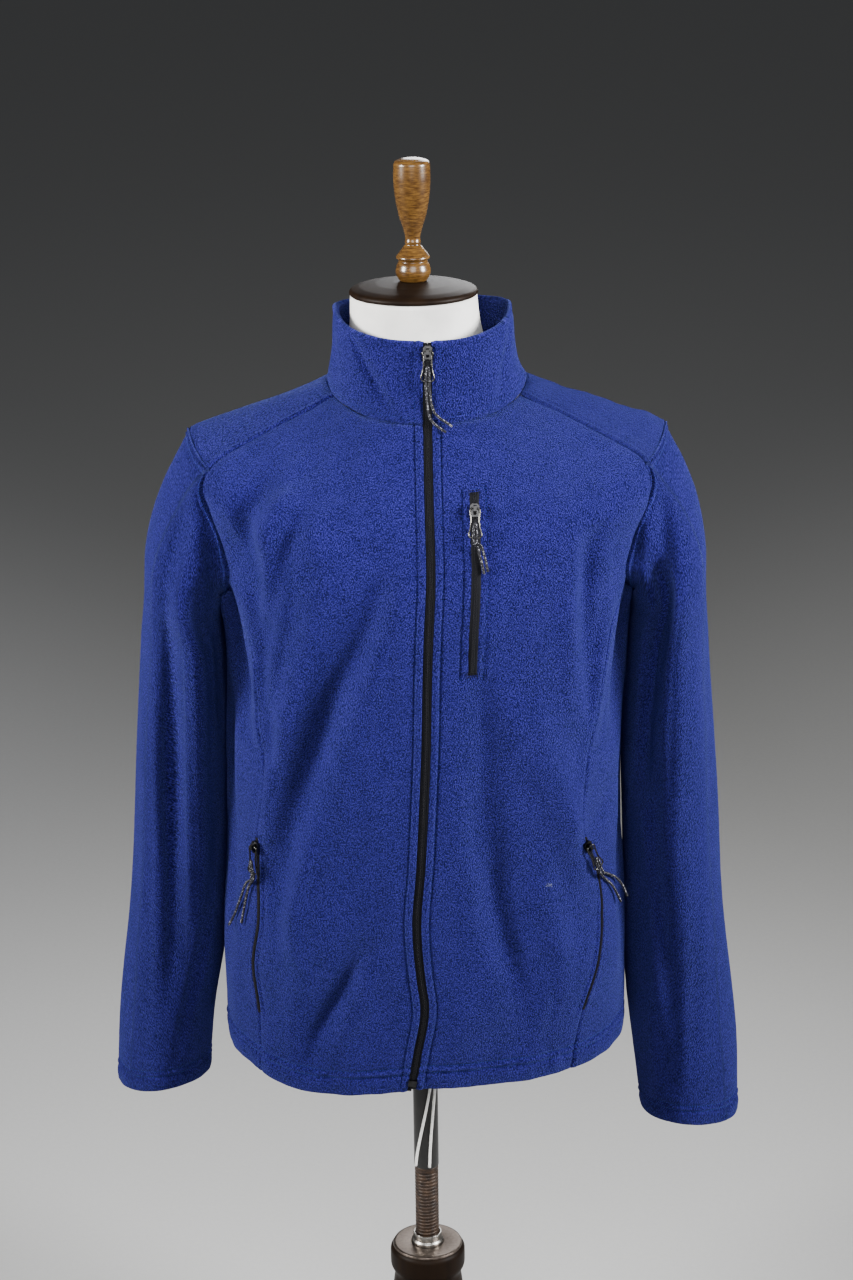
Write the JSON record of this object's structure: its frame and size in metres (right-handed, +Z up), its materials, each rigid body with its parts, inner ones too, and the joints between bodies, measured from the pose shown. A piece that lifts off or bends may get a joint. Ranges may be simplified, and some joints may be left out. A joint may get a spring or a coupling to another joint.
{
  "type": "fleece zip jacket on limbless dress form and stand",
  "caption": "Hip-length fleece jacket with stand collar, full front zip, chest and hand pocket zips and curved panel seams, worn by a limbless dress form on a turned stand.",
  "frame": {"origin": "centre of the stand's underside, on the floor", "axes": "+Z up; the jacket's front looks along -Y; +X is the right-hand side as seen from the front"},
  "size_m": [0.6726, 0.38, 1.472],
  "materials": {
    "fleece": "napped micro-fleece",
    "zip_tape": "woven tape with coil teeth",
    "pull_cord": "braided, flecked with white",
    "gunmetal": "darkened, worn bright at the edges",
    "form_cover": "plain cotton cover",
    "drawstring": "flat white cord",
    "dark_wood": "dark stain, gloss lacquer",
    "turned_wood": "mid-brown lacquer",
    "dark_post": "semi-gloss black",
    "brown_rod": "browned steel, fine thread",
    "steel": "worn bright"
  },
  "bodies": {
    "stand": {"stand_base": "dark_wood", "stand_column": "dark_wood", "rod_collar": "steel"},
    "rod": {"threaded_rod": "brown_rod"},
    "upper": {"front_right": "fleece", "side_right": "fleece", "sleeve_right": "fleece", "zip_tape_right": "zip_tape", "hand_pocket_tape_right": "zip_tape", "front_left": "fleece", "side_left": "fleece", "sleeve_left": "fleece", "zip_tape_left": "zip_tape", "hand_pocket_tape_left": "zip_tape", "back": "fleece", "collar": "fleece", "chest_pocket_tape": "zip_tape", "front_slider": "gunmetal", "chest_slider": "gunmetal", "hand_right_slider": "gunmetal", "hand_left_slider": "gunmetal", "zip_retainer_box": "gunmetal", "form_torso": "form_cover", "neck_cap": "dark_wood", "finial": "turned_wood", "form_post": "dark_post", "drawstring_right": "drawstring", "drawstring_left": "drawstring"},
    "front_pull_body": {"front_pull": "gunmetal", "front_pull_cord_a": "pull_cord", "front_pull_cord_b": "pull_cord"},
    "chest_pull_body": {"chest_pull": "gunmetal", "chest_pull_cord_a": "pull_cord", "chest_pull_cord_b": "pull_cord"},
    "hand_right_pull_body": {"hand_right_pull": "gunmetal", "hand_right_pull_cord_a": "pull_cord", "hand_right_pull_cord_b": "pull_cord"},
    "hand_left_pull_body": {"hand_left_pull": "gunmetal", "hand_left_pull_cord_a": "pull_cord", "hand_left_pull_cord_b": "pull_cord"}
  },
  "joints": [
    {"name": "height_slide", "type": "slide", "parent": "stand", "child": "rod", "axis": [0, 0, 1], "range_m": [-0.06, 0.06]},
    {"name": "form_swivel", "type": "hinge", "parent": "rod", "child": "upper", "pos_m": [0, 0, 0.376], "axis": [0, 0, 1], "continuous": true},
    {"name": "front_pull_hinge", "type": "hinge", "parent": "upper", "child": "front_pull_body", "pos_m": [0.01291, -0.07605, 1.29766], "axis": [-0.9999, 0.0018, 0.0132], "range_deg": [0, 150]},
    {"name": "chest_pull_hinge", "type": "hinge", "parent": "upper", "child": "chest_pull_body", "pos_m": [0.05647, -0.1169, 1.15176], "axis": [-0.9986, -0.0438, 0.0281], "range_deg": [0, 150]},
    {"name": "hand_right_pull_hinge", "type": "hinge", "parent": "upper", "child": "hand_right_pull_body", "pos_m": [0.17045, -0.10498, 0.79234], "axis": [-0.7049, -0.5489, -0.4492], "range_deg": [0, 150]},
    {"name": "hand_left_pull_hinge", "type": "hinge", "parent": "upper", "child": "hand_left_pull_body", "pos_m": [-0.17097, -0.09462, 0.7931], "axis": [-0.7327, 0.6794, 0.0395], "range_deg": [0, 150]}
  ]
}
